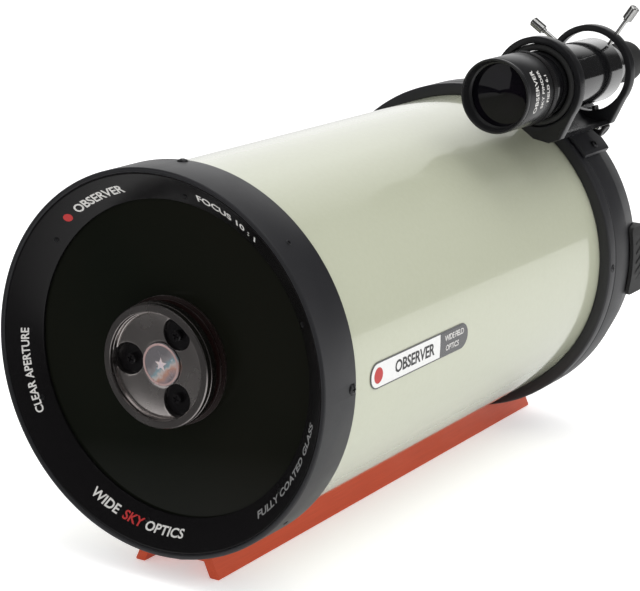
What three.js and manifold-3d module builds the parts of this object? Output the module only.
// A compound (Schmidt-Cassegrain) telescope tube on a dovetail bar, with its finder scope.
// Millimetres, +Z up. The telescope looks along -Y, and +X is on the finder's side.
// Inside the telescope group the optical axis is the Y axis and the front rim is at y = 0.

import * as THREE from "three";
import { mergeVertices } from "three/addons/utils/BufferGeometryUtils.js";
import Module from "manifold-3d";

const wasm = await Module();
wasm.setup();

// Driving dimensions.

const overallLength = 565;
const axisHeight = 164; // optical axis above the bar's feet
const gap = 0.3; // clearance between pieces that are fitted together
const through = 20; // extra length of a cutting tool past the wall that it cuts

const sides = { large: 48, middle: 28, small: 16, tiny: 10 };
const edge = { fine: 0.8, plain: 1.2 }; // chamfers on the cast rings

const tube = { radius: 137.5, bore: 136, front: 30.5, back: 470 };

const frontCell = { radius: 144, depth: 41.6, socket: 137.9, mouth: 140.2, seat: 121.8, lip: 115 };
const bezel = { outer: 139.9, inner: 118.5, front: 1.2, innerFront: 19.5, back: 22.2, rimDepth: 4.2 };
const corrector = { radius: 121.4, hole: 46.3, front: 22.5, back: 27.4 };

const secondary = {
  flange: 48,
  barrel: 45.9,
  bore: 41.4,
  ringRadius: 46.5,
  threadRadius: 43.3,
  lip: 40.3,
  coverRadius: 41.1,
  badge: 16,
  screwCircle: 27,
  fingerHole: 10.5,
  mirror: 36,
  floor: 9.5,
  plateFront: 11.9,
  plateBack: 16,
  mirrorPlate: [19.5, 23.5],
  glass: { front: 23.8, edge: 30.6, middle: 31.6, back: 32.2 },
  hood: { wide: 33, narrow: 96, taper: 3, wall: 1.2, seat: 40 },
};
const collimationScrew = { head: 4, shank: 2, front: 7.6, back: 18 };

const rearCell = { radius: 148, front: 459, chamfer: 498, backRadius: 140.4, back: 529, wall: 8, port: 30 };
const primary = { radius: 121, hole: 29.5, edgeFront: 440, back: 462, curve: 1128 };
const primaryRings = [primary.radius, 98, 75, 52, primary.hole]; // radii where the mirror's curve is drawn
const baffle = { front: 190, radius: 25.2, bore: 23.5, neck: 29.7, neckBack: 535.5, flange: 4.2 };
const fieldLens = { front: [480, 486], rear: [500, 505], rim: 2.2 };
const carrier = { bore: 25.6, sleeve: 29, front: 432, back: 500, plate: 92, plateBack: 468.4 };
const mirrorNut = { radius: 38, front: 438, back: 445 };

const focuser = { x: -70, z: -26, knob: 17, grip: 20.5, knobBack: 562, rod: 3, rodBack: 530, shaft: 6.5 };
const focusShaft = { front: 496, back: 556 };
const focusBearing = { bush: 8.7, bushFront: 519, radius: 19, back: 534, hole: 9 };
const lockPlaces = [
  [42.5, 73.6],
  [-42.5, -73.6],
];
const lockKnob = { radius: 9.5, shank: 3.1, shankFront: 505, front: 529.4, back: 548 };
const lockRod = { radius: 1.6, back: 522 };
const ventPlaces = [
  [84, -22],
  [-62, 60],
];
const vent = { radius: 12.5, front: 524, back: 530.2 };

const adapter = { radius: 44, front: 529.3, back: 538.5, thread: 25.2, threadBack: 544, bore: 21.5, floor: 536 };
const visualBack = {
  ring: 29,
  barrel: 22,
  socket: 15.95,
  front: 539,
  ringBack: 547,
  barrelFront: 549,
  socketFront: 544.4,
};
const socketScrew = { y: 557, shank: 2, head: 5, tip: 16.6, headStart: 23, end: 33 };

const gripPad = { front: 502, back: 535, low: -33, high: 28, corner: 6, radius: 151.5, ribs: 6, groove: 2.2 };

const bar = {
  front: 26,
  back: 537,
  foot: 38.1,
  footInner: 30,
  footEdge: 1.5,
  shoulder: 31.5,
  shoulderEdge: 2,
  web: 24.5,
  top: -146,
  webLow: -152,
};
const block = { halfWidth: 30, front: 27, back: 41.2, height: 8 };
const barBolts = { frontY: 34, rearY: 480, shank: 3, head: 6, headHeight: 4.5, frontTop: -139.6, rearTop: -142 };

const label = { front: 70, back: 216, middle: -2.4, height: 20, thickness: 0.8 };

// The finder sits square to a line that leans from +X towards +Z by this angle.
const finderAngle = 56;
const finder = {
  height: 203, // finder axis to optical axis
  tube: 27.5,
  tubeBore: 25.9,
  front: 294,
  cell: 29.8,
  cellBack: 339.6,
  lens: 26.6,
  ring: 30.5,
  eyepiece: 18,
  back: 548,
  tubeFront: 317,
  neck: 19,
  neckBore: 17.2,
  taper: [480, 494],
  tubeBack: 505,
  lockRingBack: 347,
};
const finderCell = { lip: 25, lipFront: 303, seat: 305, shoulder: 316 };
const finderLens = {
  front: 303.6,
  bulge: 15,
  bulgeDepth: 304.2,
  rim: 24.4,
  rimDepth: 305.4,
  edge: 313,
  back: 314.6,
};
const eyepiece = { front: 496, bore: 12.5, barrel: 16.9, cup: 4, lens: 12.2, lensFront: 535, lensBack: 540 };
const bracket = {
  front: 368.5,
  back: 478.6,
  ringWidth: 9.6,
  outer: 39.5,
  bore: 34,
  floor: 165.5,
  footFront: 446,
  footBack: 512,
};
const shoe = { front: 464, back: 512, halfWidth: 22, ear: 44, earTop: 152.3, top: 165, boltSide: 37, boltY: 488 };
const slot = { top: 10.5, bottom: 14.5, floor: 152.5 };
const shoeBolt = { shank: 1.8, hole: 2.1, head: 3.4, height: 2.1, tip: 142 };
const shoeScrew = { y: 502, height: 159, shank: 2.5, hole: 2.8, tip: 13.4, head: 6.5, end: 35 };
const springPin = { radius: 3, start: finder.tube + 2.5, end: 51 };
const adjuster = { shank: 1.8, head: 4, tip: 28, neck: 54, end: 68.4 };

// Shaping helpers.

/** A solid of revolution about Y from [radius, y] points; an outline that misses the axis is closed. */
function turned(outline, count) {
  const points = outline.map(([radius, y]) => new THREE.Vector2(radius, y));
  if (THREE.ShapeUtils.area(points) < 0) points.reverse();
  const onAxis = points.some((point) => point.x === 0);
  if (!onAxis) points.push(points[0].clone());
  while (onAxis && !(points[0].x === 0 && points.at(-1).x === 0)) points.push(points.shift());
  return new THREE.LatheGeometry(points, count);
}

function disc(radius, front, back, count) {
  return turned([[0, front], [radius, front], [radius, back], [0, back]], count);
}

function ring(inner, outer, front, back, count) {
  return turned([[inner, front], [outer, front], [outer, back], [inner, back]], count);
}

/** An outline of [x, z] points, or a Shape, carried along Y. */
function prismAlongY(outline, front, back) {
  const drawn = outline instanceof THREE.Shape;
  const shape = drawn ? outline : new THREE.Shape(outline.map(([x, z]) => new THREE.Vector2(x, z)));
  const geometry = new THREE.ExtrudeGeometry(shape, {
    depth: back - front,
    bevelEnabled: false,
    curveSegments: sides.tiny,
  });
  return geometry.rotateX(Math.PI / 2).translate(0, back, 0);
}

/** A Shape drawn in [y, z], carried along X. */
function prismAlongX(shape, start, end) {
  const geometry = new THREE.ExtrudeGeometry(shape, {
    depth: end - start,
    bevelEnabled: false,
    curveSegments: sides.tiny,
  });
  const axes = new THREE.Matrix4().makeBasis(
    new THREE.Vector3(0, 1, 0),
    new THREE.Vector3(0, 0, 1),
    new THREE.Vector3(1, 0, 0),
  );
  return geometry.applyMatrix4(axes).translate(start, 0, 0);
}

function roundedRectangle(left, right, low, high, corner) {
  const shape = new THREE.Shape();
  shape.moveTo(left + corner, low);
  shape.lineTo(right - corner, low);
  shape.absarc(right - corner, low + corner, corner, -Math.PI / 2, 0, false);
  shape.lineTo(right, high - corner);
  shape.absarc(right - corner, high - corner, corner, 0, Math.PI / 2, false);
  shape.lineTo(left + corner, high);
  shape.absarc(left + corner, high - corner, corner, Math.PI / 2, Math.PI, false);
  shape.lineTo(left, low + corner);
  shape.absarc(left + corner, low + corner, corner, Math.PI, Math.PI * 1.5, false);
  return shape;
}

/** A pin that points away from the Y axis at an angle from +X towards +Z. */
function radialPin(degrees, y, radius, start, end, count = sides.tiny) {
  const pin = disc(radius, start, end, count);
  return pin.rotateZ(-Math.PI / 2).rotateY(-THREE.MathUtils.degToRad(degrees)).translate(0, y, 0);
}

/** A pin along Y at a place given by [x, z]. */
function axialPin([x, z], radius, front, back, count = sides.tiny) {
  return disc(radius, front, back, count).translate(x, 0, z);
}

function solid(geometry) {
  const bare = geometry.clone();
  bare.deleteAttribute("normal");
  bare.deleteAttribute("uv");
  const merged = mergeVertices(bare, 1e-4);
  const triangles = [];
  for (let i = 0; i < merged.index.count; i += 3) {
    const [a, b, c] = [0, 1, 2].map((corner) => merged.index.getX(i + corner));
    if (a !== b && b !== c && c !== a) triangles.push(a, b, c);
  }
  const mesh = new wasm.Mesh({
    numProp: 3,
    vertProperties: new Float32Array(merged.attributes.position.array),
    triVerts: new Uint32Array(triangles),
  });
  return new wasm.Manifold(mesh);
}

function geometryOf(body) {
  const mesh = body.getMesh();
  const geometry = new THREE.BufferGeometry();
  geometry.setAttribute("position", new THREE.BufferAttribute(new Float32Array(mesh.vertProperties), 3));
  geometry.setIndex(new THREE.BufferAttribute(new Uint32Array(mesh.triVerts), 1));
  return geometry;
}

function joined(...geometries) {
  return geometryOf(geometries.map(solid).reduce((whole, piece) => whole.add(piece)));
}

function cut(geometry, ...tools) {
  return geometryOf(tools.map(solid).reduce((whole, tool) => whole.subtract(tool), solid(geometry)));
}

function common(first, second) {
  return geometryOf(solid(first).intersect(solid(second)));
}

// Materials and placing.

const finishes = {
  creamPaint: { color: 0xc9cbb0, roughness: 0.22, metalness: 0.05 },
  blackCasting: { color: 0x1b1c1f, roughness: 0.55, metalness: 0.35 },
  glossBlack: { color: 0x0c0c0e, roughness: 0.22, metalness: 0.2 },
  satinBlack: { color: 0x141416, roughness: 0.42, metalness: 0.4 },
  blackRubber: { color: 0x101011, roughness: 0.8, metalness: 0 },
  darkGlass: { color: 0x0a120c, roughness: 0.05, metalness: 0 },
  mirror: { color: 0xd8dcde, roughness: 0.03, metalness: 1 },
  orangeAnodised: { color: 0xc2401c, roughness: 0.38, metalness: 0.65 },
  bareAluminium: { color: 0xb4b6b8, roughness: 0.35, metalness: 0.9 },
  brass: { color: 0xb8934a, roughness: 0.3, metalness: 0.9 },
  chrome: { color: 0xd0d2d4, roughness: 0.15, metalness: 1 },
  labelWhite: { color: 0xe9e8e4, roughness: 0.35, metalness: 0 },
  badgeFoil: { color: 0x8a7f86, roughness: 0.25, metalness: 0.8 },
};

const telescope = new THREE.Group();
telescope.position.set(0, -overallLength / 2, axisHeight);

// Local X, Y and Z here are across the finder, along it, and away from the optical axis.
const finderFrame = new THREE.Group();
finderFrame.rotation.y = THREE.MathUtils.degToRad(90 - finderAngle);
telescope.add(finderFrame);

function place(name, geometry, finish, parent = telescope, position = [0, 0, 0], rotation = [0, 0, 0]) {
  const mesh = new THREE.Mesh(geometry, new THREE.MeshStandardMaterial(finishes[finish]));
  mesh.name = name;
  mesh.position.set(...position);
  mesh.rotation.set(...rotation);
  parent.add(mesh);
}

// Tube and front cell.

function buildTube() {
  place("main_tube", ring(tube.bore, tube.radius, tube.front, tube.back, sides.large), "creamPaint");
}

function buildFrontCell() {
  const shelf = corrector.back + gap;
  const tubeStop = tube.front - 0.4;
  const outline = [
    [frontCell.mouth, edge.fine],
    [frontCell.mouth + 1, 0],
    [frontCell.radius - edge.plain, 0],
    [frontCell.radius, edge.plain],
    [frontCell.radius, frontCell.depth - edge.fine],
    [frontCell.radius - edge.fine, frontCell.depth],
    [frontCell.socket, frontCell.depth],
    [frontCell.socket, tubeStop],
    [frontCell.lip, tubeStop],
    [frontCell.lip, shelf],
    [frontCell.seat, shelf],
    [frontCell.seat, bezel.back],
    [frontCell.mouth, bezel.front + bezel.rimDepth + 2 * gap],
  ];
  const holeStart = -barBolts.frontTop - gap;
  const boltHole = radialPin(-90, barBolts.frontY, barBolts.shank + gap, holeStart, frontCell.radius + 1);
  place("front_cell", cut(turned(outline, sides.large), boltHole), "blackCasting");
}

function buildCorrector() {
  const outline = [
    [bezel.inner, bezel.back],
    [bezel.inner, bezel.innerFront],
    [bezel.outer, bezel.front],
    [bezel.outer, bezel.front + bezel.rimDepth],
    [frontCell.seat - edge.fine, bezel.back],
  ];
  place("corrector_retaining_ring", turned(outline, sides.large), "glossBlack");
  const plate = ring(corrector.hole, corrector.radius, corrector.front, corrector.back, sides.large);
  place("corrector_plate", plate, "darkGlass");
}

// Secondary mirror assembly.

const screwAngles = [60, 180, 300];

function aroundAxis(degrees, radius) {
  const angle = THREE.MathUtils.degToRad(degrees);
  return [radius * Math.cos(angle), radius * Math.sin(angle)];
}

function buildSecondaryHousing() {
  const front = 2.8;
  const shoulder = 12.4;
  const flangeFront = 20.2;
  const back = 33;
  const outline = [
    [secondary.bore, front],
    [secondary.threadRadius, front],
    [secondary.threadRadius, shoulder],
    [secondary.barrel - 0.4, shoulder],
    [secondary.barrel - 0.4, flangeFront],
    [secondary.flange, flangeFront],
    [secondary.flange, corrector.front - gap],
    [secondary.barrel, corrector.front - gap],
    [secondary.barrel, back],
    [secondary.bore, back],
  ];
  place("secondary_housing", turned(outline, sides.middle), "satinBlack");

  const ringBack = shoulder - 0.4;
  const lipBack = front - gap;
  const ringOutline = [
    [secondary.lip, 0.6],
    [secondary.ringRadius, 0.6],
    [secondary.ringRadius, ringBack],
    [secondary.threadRadius + gap, ringBack],
    [secondary.threadRadius + gap, lipBack],
    [secondary.lip, lipBack],
  ];
  place("secondary_retaining_ring", turned(ringOutline, sides.middle), "satinBlack");
}

function buildSecondaryCover() {
  const { floor } = secondary;
  const wall = 2;
  const rim = 3.1;
  const flat = 19;
  const bend = { radius: 34, depth: 7 };
  const badgeFront = floor - 1.8;
  const dish = [
    [0, floor],
    [flat, floor],
    [bend.radius, bend.depth],
    [secondary.coverRadius - wall, rim],
    [secondary.coverRadius, rim],
    [secondary.coverRadius, floor + wall],
    [0, floor + wall],
  ];
  const holes = screwAngles.map((angle) =>
    axialPin(aroundAxis(angle, secondary.screwCircle), secondary.fingerHole, 0, floor + through, sides.small),
  );
  place("secondary_cover", cut(turned(dish, sides.middle), ...holes), "satinBlack");
  place("secondary_badge", disc(secondary.badge, badgeFront, floor - gap, sides.middle), "badgeFoil");
}

function buildCollimationScrews() {
  const { head, shank, front, back } = collimationScrew;
  const { plateFront, plateBack } = secondary;
  const holes = screwAngles.map((angle) => {
    const spot = aroundAxis(angle, secondary.screwCircle);
    return axialPin(spot, shank + gap, plateFront - through, plateBack + through);
  });
  const plate = disc(secondary.coverRadius, plateFront, plateBack, sides.middle);
  place("secondary_cell_plate", cut(plate, ...holes), "bareAluminium");
  screwAngles.forEach((angle, index) => {
    const outline = [
      [0, front],
      [head, front],
      [head, plateFront - gap],
      [shank, plateFront - gap],
      [shank, back],
      [0, back],
    ];
    const [x, z] = aroundAxis(angle, secondary.screwCircle);
    place(`collimation_screw_${index + 1}`, turned(outline, sides.tiny), "chrome", telescope, [x, 0, z]);
  });
  const pivot = disc(head, plateBack + gap, secondary.mirrorPlate[0] - gap, sides.tiny);
  place("secondary_pivot", pivot, "bareAluminium");
}

function buildSecondaryMirror() {
  const { mirror, mirrorPlate, glass } = secondary;
  const plateMargin = 1.5;
  place("secondary_mirror_plate", disc(mirror + plateMargin, ...mirrorPlate, sides.middle), "bareAluminium");
  const outline = [
    [0, glass.front],
    [mirror, glass.front],
    [mirror, glass.edge],
    [mirror * 0.6, glass.middle],
    [0, glass.back],
  ];
  place("secondary_mirror", turned(outline, sides.middle), "mirror");
  const { wide, narrow, taper, wall, seat } = secondary.hood;
  const nutFront = corrector.back + gap;
  const nutRadius = secondary.flange + 2;
  const hood = [
    [secondary.barrel + gap, nutFront],
    [nutRadius, nutFront],
    [nutRadius, wide],
    [secondary.flange - taper, narrow],
    [secondary.flange - taper - wall, narrow],
    [secondary.barrel + gap, seat],
  ];
  place("secondary_baffle", turned(hood, sides.middle), "satinBlack");
}

// Primary mirror and rear cell.

function buildPrimaryMirror() {
  const sag = (radius) => (primary.radius ** 2 - radius ** 2) / (2 * primary.curve);
  const outline = [
    ...primaryRings.map((radius) => [radius, primary.edgeFront + sag(radius)]),
    [primary.hole, primary.back],
    [primary.radius, primary.back],
  ];
  place("primary_mirror", turned(outline, sides.large), "mirror");

  const plateFront = primary.back + gap;
  const sleeve = [
    [carrier.bore, carrier.front],
    [carrier.sleeve, carrier.front],
    [carrier.sleeve, plateFront],
    [carrier.plate, plateFront],
    [carrier.plate, carrier.plateBack],
    [carrier.sleeve, carrier.plateBack],
    [carrier.sleeve, carrier.back],
    [carrier.bore, carrier.back],
  ];
  place("mirror_carrier", turned(sleeve, sides.middle), "bareAluminium");
  const nut = ring(carrier.sleeve + gap, mirrorNut.radius, mirrorNut.front, mirrorNut.back, sides.middle);
  place("mirror_retaining_nut", nut, "bareAluminium");
}

function buildBaffleTube() {
  const flangeBack = rearCell.back - rearCell.wall - gap;
  const flangeFront = flangeBack - baffle.flange;
  const outline = [
    [baffle.bore, baffle.front],
    [baffle.radius, baffle.front],
    [baffle.radius, flangeFront],
    [adapter.radius, flangeFront],
    [adapter.radius, flangeBack],
    [baffle.neck, flangeBack],
    [baffle.neck, baffle.neckBack],
    [baffle.bore, baffle.neckBack],
  ];
  place("baffle_tube", turned(outline, sides.middle), "satinBlack");
  const { front, rear, rim } = fieldLens;
  const lens = baffle.bore - gap;
  place("field_lens_front", disc(lens, ...front, sides.small), "darkGlass");
  place("field_lens_spacer", ring(lens - rim, lens, front[1] + gap, rear[0] - gap, sides.small), "satinBlack");
  place("field_lens_rear", disc(lens, ...rear, sides.small), "darkGlass");
}

function buildRearCell() {
  const { radius, front, back, wall } = rearCell;
  const tubeStop = tube.back + 0.4;
  const inside = back - wall;
  const corner = 0.6;
  const innerBack = 131;
  const stop = { radius: 133, slope: 6 };
  const outline = [
    [frontCell.socket, front],
    [radius - corner, front],
    [radius, front + corner],
    [radius, rearCell.chamfer],
    [rearCell.backRadius, back - edge.fine],
    [rearCell.backRadius - edge.fine, back],
    [rearCell.port, back],
    [rearCell.port, inside],
    [innerBack, inside],
    [radius - wall, rearCell.chamfer],
    [radius - wall, tubeStop + stop.slope],
    [stop.radius, tubeStop],
    [frontCell.socket, tubeStop],
  ];
  const boltAngles = [-1, 1].map((side) => finderAngle + side * boltLean());
  const holes = [
    axialPin([focuser.x, focuser.z], focusBearing.hole, inside - through, back + through, sides.small),
    ...lockPlaces.map((spot) => axialPin(spot, lockKnob.shank + gap, inside - through, back + through)),
    ...ventPlaces.map((spot) => axialPin(spot, vent.radius + gap, inside - through, back + through, sides.small)),
    ...boltAngles.map((angle) => radialPin(angle, shoe.boltY, shoeBolt.hole, radius - through, radius + through)),
    radialPin(-90, barBolts.rearY, barBolts.shank + gap, -barBolts.rearTop - gap, radius + 1),
  ];
  place("rear_cell", cut(turned(outline, sides.large), ...holes), "blackCasting");
}

/** Angle between the shoe's middle and each of its bolts, seen along the optical axis. */
function boltLean() {
  return THREE.MathUtils.radToDeg(Math.asin(shoe.boltSide / shoe.earTop));
}

function buildFocuser() {
  const spot = [focuser.x, 0, focuser.z];
  const { front: shaftFront, back: shaftBack } = focusShaft;
  const { bush, bushFront, radius, back: bearingBack } = focusBearing;
  const bearing = [
    [focuser.shaft + gap, bushFront],
    [bush, bushFront],
    [bush, rearCell.back + gap],
    [radius, rearCell.back + gap],
    [radius, bearingBack],
    [focuser.shaft + gap, bearingBack],
  ];
  const knob = [
    [focuser.shaft + gap, bearingBack + 1],
    [focuser.knob, bearingBack + 1],
    [focuser.knob, focuser.knobBack - 2],
    [focuser.knob - 3, focuser.knobBack],
    [0, focuser.knobBack],
    [0, shaftBack + 0.4],
    [focuser.shaft + gap, shaftBack + 0.4],
  ];
  const shaft = ring(focuser.rod + gap, focuser.shaft, shaftFront, shaftBack, sides.small);
  const grip = ring(focuser.knob + gap, focuser.grip, bearingBack + 3, focuser.knobBack - 3, sides.middle);
  const rod = disc(focuser.rod, carrier.plateBack + gap, focuser.rodBack, sides.tiny);
  place("focus_bearing", turned(bearing, sides.small), "blackCasting", telescope, spot);
  place("focus_shaft", shaft, "brass", telescope, spot);
  place("focus_knob", turned(knob, sides.small), "satinBlack", telescope, spot);
  place("focus_knob_grip", grip, "blackRubber", telescope, spot);
  place("focus_rod", rod, "chrome", telescope, spot);
}

function buildMirrorLocks() {
  const hollow = lockRod.radius + 0.4;
  const outline = [
    [0, lockKnob.back - 3],
    [hollow, lockKnob.back - 3],
    [hollow, lockKnob.shankFront],
    [lockKnob.shank, lockKnob.shankFront],
    [lockKnob.shank, lockKnob.front],
    [lockKnob.radius, lockKnob.front],
    [lockKnob.radius, lockKnob.back - 1.5],
    [lockKnob.radius - 1.5, lockKnob.back],
    [0, lockKnob.back],
  ];
  lockPlaces.forEach(([x, z], index) => {
    const rod = disc(lockRod.radius, carrier.plateBack + gap, lockRod.back, sides.tiny);
    place(`mirror_lock_knob_${index + 1}`, turned(outline, sides.small), "satinBlack", telescope, [x, 0, z]);
    place(`mirror_lock_rod_${index + 1}`, rod, "chrome", telescope, [x, 0, z]);
  });
}

function buildVents() {
  ventPlaces.forEach(([x, z], index) => {
    const cover = disc(vent.radius, vent.front, vent.back, sides.small);
    place(`vent_cover_${index + 1}`, cover, "satinBlack", telescope, [x, 0, z]);
  });
}

function buildVisualBack() {
  const { bore, floor } = adapter;
  const bevelInner = 36;
  const plate = [
    [rearCell.port, adapter.front],
    [adapter.radius, adapter.front],
    [adapter.radius, floor],
    [bevelInner, adapter.back],
    [adapter.thread, adapter.back],
    [adapter.thread, adapter.threadBack],
    [bore, adapter.threadBack],
    [bore, floor],
    [rearCell.port, floor],
  ];
  place("rear_adapter", turned(plate, sides.middle), "satinBlack");

  const threadClear = adapter.thread + 0.4;
  const body = [
    [threadClear, visualBack.front],
    [visualBack.ring, visualBack.front],
    [visualBack.ring, visualBack.ringBack],
    [visualBack.barrel, visualBack.barrelFront],
    [visualBack.barrel, overallLength],
    [visualBack.socket, overallLength],
    [visualBack.socket, visualBack.socketFront],
    [threadClear, visualBack.socketFront],
  ];
  const screwHole = radialPin(90, socketScrew.y, socketScrew.shank + gap, 10, socketScrew.end);
  place("visual_back", cut(turned(body, sides.middle), screwHole), "satinBlack");

  const screw = [
    [0, socketScrew.tip],
    [socketScrew.shank, socketScrew.tip],
    [socketScrew.shank, socketScrew.headStart],
    [socketScrew.head, socketScrew.headStart],
    [socketScrew.head, socketScrew.end],
    [0, socketScrew.end],
  ];
  const upright = [Math.PI / 2, 0, 0];
  place("visual_back_thumbscrew", turned(screw, sides.tiny), "chrome", telescope, [0, socketScrew.y, 0], upright);
}

// Grips, label and dovetail bar.

function buildGripPads() {
  const { radius, chamfer, backRadius, back } = rearCell;
  const clear = 0.5;
  const outline = roundedRectangle(gripPad.front, gripPad.back, gripPad.low, gripPad.high, gripPad.corner);
  const middle = (gripPad.low + gripPad.high) / 2;
  const pitch = (gripPad.high - gripPad.low) / (gripPad.ribs + 1);
  const lean = 0.5; // slope of the ribs across the pad, in radians
  const inner = { radius: backRadius - 4, back: gripPad.back + 1 };
  const reachIn = 120;
  const reachOut = 160;
  const shell = turned(
    [
      [radius + clear, chamfer],
      [gripPad.radius, chamfer],
      [gripPad.radius, inner.back],
      [inner.radius, inner.back],
      [inner.radius, back + clear],
      [backRadius + clear, back + clear],
      [backRadius + clear, back - 0.8],
    ],
    sides.large,
  );
  for (const [name, side] of [["grip_pad_right", 1], ["grip_pad_left", -1]]) {
    const start = Math.min(side * reachIn, side * reachOut);
    const padBlock = prismAlongX(outline, start, start + reachOut - reachIn);
    const grooves = Array.from({ length: gripPad.ribs }, (_, index) => {
      const height = middle + (index - (gripPad.ribs - 1) / 2) * pitch;
      const groove = new THREE.BoxGeometry(4, gripPad.back - gripPad.front - 8, gripPad.groove);
      const reach = side * (gripPad.radius - 0.5);
      return groove.rotateX(side * lean).translate(reach, (gripPad.front + gripPad.back) / 2, height);
    });
    place(name, cut(common(shell, padBlock), ...grooves), "blackRubber");
  }
}

function buildLabel() {
  const end = label.height / 2;
  const outline = roundedRectangle(label.front, label.back, label.middle - end, label.middle + end, end - 0.01);
  const skin = ring(tube.radius + gap, tube.radius + gap + label.thickness, label.front, label.back, sides.large);
  place("label_plate", common(skin, prismAlongX(outline, tube.radius - 5, tube.radius + 5)), "labelWhite");
}

function buildBar() {
  const low = -axisHeight;
  const section = [
    [-bar.foot, low],
    [-bar.footInner, low],
    [-bar.web, bar.webLow],
    [bar.web, bar.webLow],
    [bar.footInner, low],
    [bar.foot, low],
    [bar.foot, low + bar.footEdge],
    [bar.shoulder, bar.top - bar.shoulderEdge],
    [bar.shoulder, bar.top],
    [-bar.shoulder, bar.top],
    [-bar.shoulder, bar.top - bar.shoulderEdge],
    [-bar.foot, low + bar.footEdge],
  ];
  const relief = disc(rearCell.radius + 0.6, rearCell.front - 4, overallLength + through, sides.large);
  const boltHole = (y) => radialPin(-90, y, barBolts.shank + gap, frontCell.lip, axisHeight, sides.tiny);
  const holes = [boltHole(barBolts.frontY), boltHole(barBolts.rearY)];
  place("dovetail_bar", cut(prismAlongY(section, bar.front, bar.back), relief, ...holes), "orangeAnodised");

  const wedge = [
    [-block.halfWidth, bar.top + gap],
    [block.halfWidth, bar.top + gap],
    [block.halfWidth, bar.top + block.height],
    [-block.halfWidth, bar.top + block.height],
  ];
  const seat = disc(frontCell.radius + gap, 0, tube.front + through, sides.large);
  const bridge = cut(prismAlongY(wedge, block.front, block.back), seat, boltHole(barBolts.frontY));
  place("dovetail_block_front", bridge, "blackCasting");

  const boltEnds = [
    ["dovetail_bolt_front", barBolts.frontY, -barBolts.frontTop],
    ["dovetail_bolt_rear", barBolts.rearY, -barBolts.rearTop],
  ];
  for (const [name, y, top] of boltEnds) {
    const seatRadius = -bar.webLow + gap;
    const outline = [
      [0, top],
      [barBolts.shank, top],
      [barBolts.shank, seatRadius],
      [barBolts.head, seatRadius],
      [barBolts.head, seatRadius + barBolts.headHeight],
      [0, seatRadius + barBolts.headHeight],
    ];
    place(name, turned(outline, sides.tiny), "chrome", telescope, [0, y, 0], [-Math.PI / 2, 0, 0]);
  }
}

// Finder scope.

const finderAxis = [0, 0, finder.height];

function buildFinderScope() {
  const cell = [
    [27.8, finder.front + 0.6],
    [28.6, finder.front],
    [29.4, finder.front + 0.2],
    [finder.cell, finder.front + 1],
    [finder.cell, finder.cellBack],
    [finder.tube + 0.4, finder.cellBack],
    [finder.tube + 0.4, finderCell.shoulder],
    [finder.lens + gap, finderCell.shoulder],
    [finder.lens + gap, finderCell.seat],
    [finderCell.lip, finderCell.seat],
    [finderCell.lip, finderCell.lipFront],
    [finderCell.lip + 2, finderCell.lipFront - 2],
  ];
  place("finder_objective_cell", turned(cell, sides.middle), "satinBlack", finderFrame, finderAxis);
  const lens = [
    [0, finderLens.front],
    [finderLens.bulge, finderLens.bulgeDepth],
    [finderLens.rim, finderLens.rimDepth],
    [finder.lens, finderLens.rimDepth],
    [finder.lens, finderLens.edge],
    [0, finderLens.back],
  ];
  place("finder_objective_lens", turned(lens, sides.middle), "darkGlass", finderFrame, finderAxis);
  const ringFront = finder.cellBack + 2 * gap;
  const lockRing = ring(finder.tube + 0.4, finder.ring, ringFront, finder.lockRingBack, sides.middle);
  place("finder_lock_ring", lockRing, "satinBlack", finderFrame, finderAxis);

  const [taperFront, taperBack] = finder.taper;
  const wall = 2;
  const body = [
    [finder.tubeBore, finder.tubeFront],
    [finder.tube, finder.tubeFront],
    [finder.tube, taperFront],
    [finder.neck, taperBack],
    [finder.neck, finder.tubeBack],
    [finder.neckBore, finder.tubeBack],
    [finder.neckBore, taperBack - wall],
    [finder.tubeBore, taperFront - wall],
  ];
  place("finder_tube", turned(body, sides.middle), "glossBlack", finderFrame, finderAxis);
  const shoulder = finder.tubeBack + 0.4;
  const eyeEnd = [
    [eyepiece.bore, eyepiece.front],
    [eyepiece.barrel, eyepiece.front],
    [eyepiece.barrel, shoulder],
    [finder.eyepiece, shoulder],
    [finder.eyepiece, finder.back - 1.5],
    [finder.eyepiece - 1.5, finder.back],
    [eyepiece.bore, finder.back - eyepiece.cup],
  ];
  place("finder_eyepiece", turned(eyeEnd, sides.small), "satinBlack", finderFrame, finderAxis);
  const eyeLens = disc(eyepiece.lens, eyepiece.lensFront, eyepiece.lensBack, sides.small);
  place("finder_eye_lens", eyeLens, "darkGlass", finderFrame, finderAxis);
}

function buildOring() {
  const middle = { radius: (finder.tube + bracket.bore) / 2, y: bracket.front + bracket.ringWidth / 2 };
  const thick = (bracket.bore - finder.tube) / 2 - 0.4;
  const outline = Array.from({ length: 6 }, (_, index) => {
    const angle = ((index + 0.5) * Math.PI) / 3;
    return [middle.radius + thick * Math.cos(angle), middle.y + thick * Math.sin(angle)];
  });
  place("finder_o_ring", turned(outline, sides.middle), "blackRubber", finderFrame, finderAxis);
}

/** Half of the bracket's outline below its rings, from the widest corner to the floor. */
const bracketFlank = [
  [43, 180],
  [37, 171.5],
  [24, bracket.floor],
];

function ringOutline() {
  const left = bracketFlank.map(([across, up]) => [-across, up]);
  const right = [...bracketFlank].reverse();
  const shape = new THREE.Shape();
  shape.absarc(0, finder.height, bracket.outer, 0, Math.PI, false);
  left.concat(right).forEach(([across, up]) => shape.lineTo(across, up));
  return shape;
}

function trayOutline() {
  const wall = 5;
  const inner = [
    [22, bracket.floor + wall],
    [33.5, 174.5],
    [38.5, 180],
  ];
  const right = [...bracketFlank].reverse().concat([...inner].reverse());
  const left = right.map(([across, up]) => [-across, up]).reverse();
  return right.concat(left);
}

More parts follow.
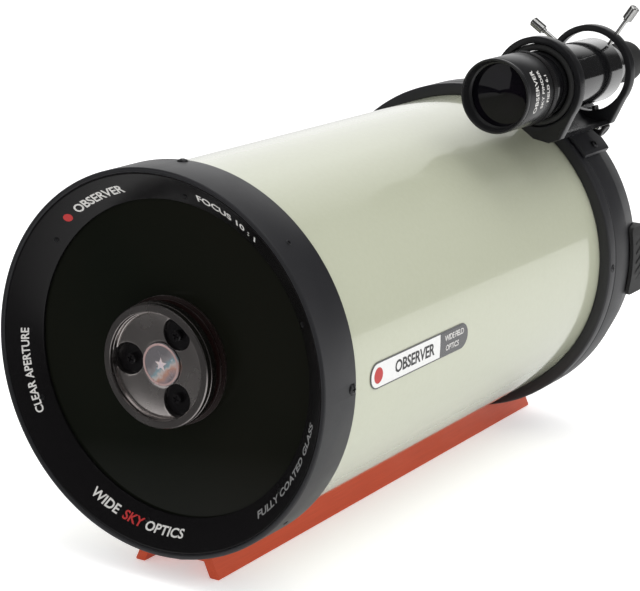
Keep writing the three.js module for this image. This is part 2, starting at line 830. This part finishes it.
/** The bracket's foot, or the slot for it when there is clearance. */
function footOutline(clear) {
  return [
    [-slot.top + gap - clear, bracket.floor + 1],
    [-slot.bottom + gap - clear, slot.floor + gap - clear],
    [slot.bottom - gap + clear, slot.floor + gap - clear],
    [slot.top - gap + clear, bracket.floor + 1],
  ];
}

function buildBracket() {
  const rearRing = bracket.back - bracket.ringWidth;
  const screwY = bracket.back - bracket.ringWidth / 2;
  const axis = new THREE.Matrix4().makeTranslation(...finderAxis);
  const hole = (degrees, radius) => radialPin(degrees, screwY, radius, finder.tube, 60).applyMatrix4(axis);
  const frame = joined(
    prismAlongY(ringOutline(), bracket.front, bracket.front + bracket.ringWidth),
    prismAlongY(ringOutline(), rearRing, bracket.back),
    prismAlongY(trayOutline(), bracket.front + 1, bracket.back - 1),
    prismAlongY(footOutline(0), bracket.footFront, bracket.footBack),
  );
  const bore = disc(bracket.bore, bracket.front - 1, bracket.back + 1, sides.middle).applyMatrix4(axis);
  const screwHole = adjuster.shank + gap;
  const screws = [hole(90, screwHole), hole(180, screwHole), hole(-45, springPin.radius + gap)];
  place("finder_bracket", cut(frame, bore, ...screws), "satinBlack", finderFrame);

  const outline = [
    [0, adjuster.tip],
    [adjuster.shank, adjuster.tip],
    [adjuster.shank, adjuster.neck],
    [adjuster.head, adjuster.neck],
    [adjuster.head, adjuster.end],
    [0, adjuster.end],
  ];
  const spot = [0, screwY, finder.height];
  place("adjusting_screw_upper", turned(outline, sides.tiny), "chrome", finderFrame, spot, [Math.PI / 2, 0, 0]);
  place("adjusting_screw_side", turned(outline, sides.tiny), "chrome", finderFrame, spot, [0, 0, Math.PI / 2]);
  const pin = disc(springPin.radius, springPin.start, springPin.end, sides.tiny);
  place("spring_pin", pin.rotateZ(-Math.PI / 2).rotateY(Math.PI / 4), "chrome", finderFrame, spot);
}

function buildShoe() {
  const walls = [
    [-shoe.halfWidth, 140],
    [shoe.halfWidth, 140],
    [shoe.halfWidth, shoe.top],
    [-shoe.halfWidth, shoe.top],
  ];
  const earBand = roundedRectangle(-shoe.ear, shoe.ear, 120, shoe.top, 3);
  const ears = common(
    ring(rearCell.radius, shoe.earTop, shoe.front, shoe.back, sides.large),
    prismAlongY(earBand, shoe.front, shoe.back),
  );
  const body = joined(ears, prismAlongY(walls, shoe.front, shoe.back));
  const cell = disc(rearCell.radius + 0.5, shoe.front - 1, shoe.back + 1, sides.large);
  const channel = prismAlongY(footOutline(gap), shoe.front - 1, shoe.back + 1);
  const holes = [-1, 1].map((side) => radialPin(90 + side * boltLean(), shoe.boltY, shoeBolt.hole, 140, 170));
  const screwSpot = [0, shoeScrew.y, shoeScrew.height];
  const screwHole = disc(shoeScrew.hole, 5, 40, sides.tiny).rotateZ(-Math.PI / 2).translate(...screwSpot);
  place("finder_shoe", cut(body, cell, channel, screwHole, ...holes), "blackCasting", finderFrame);

  const thumbscrew = [
    [0, shoeScrew.tip],
    [shoeScrew.shank, shoeScrew.tip],
    [shoeScrew.shank, shoe.halfWidth + 1],
    [shoeScrew.head, shoe.halfWidth + 1],
    [shoeScrew.head, shoeScrew.end],
    [0, shoeScrew.end],
  ];
  const turnedKnob = turned(thumbscrew, sides.tiny);
  place("shoe_thumbscrew", turnedKnob, "satinBlack", finderFrame, screwSpot, [0, 0, -Math.PI / 2]);

  const headStart = shoe.earTop + gap;
  const headEnd = headStart + shoeBolt.height;
  const bolt = [
    [0, shoeBolt.tip],
    [shoeBolt.shank, shoeBolt.tip],
    [shoeBolt.shank, headStart],
    [shoeBolt.head, headStart],
    [shoeBolt.head, headEnd],
    [0, headEnd],
  ];
  [-1, 1].forEach((side, index) => {
    const lean = THREE.MathUtils.degToRad(boltLean() * side);
    const piece = turned(bolt, sides.tiny).rotateX(Math.PI / 2).rotateY(lean);
    place(`shoe_bolt_${index + 1}`, piece, "chrome", finderFrame, [0, shoe.boltY, 0]);
  });
}

// The whole telescope.

buildTube();
buildFrontCell();
buildCorrector();
buildSecondaryHousing();
buildSecondaryCover();
buildCollimationScrews();
buildSecondaryMirror();
buildPrimaryMirror();
buildBaffleTube();
buildRearCell();
buildFocuser();
buildMirrorLocks();
buildVents();
buildVisualBack();
buildGripPads();
buildLabel();
buildBar();
buildFinderScope();
buildOring();
buildBracket();
buildShoe();

export default telescope;
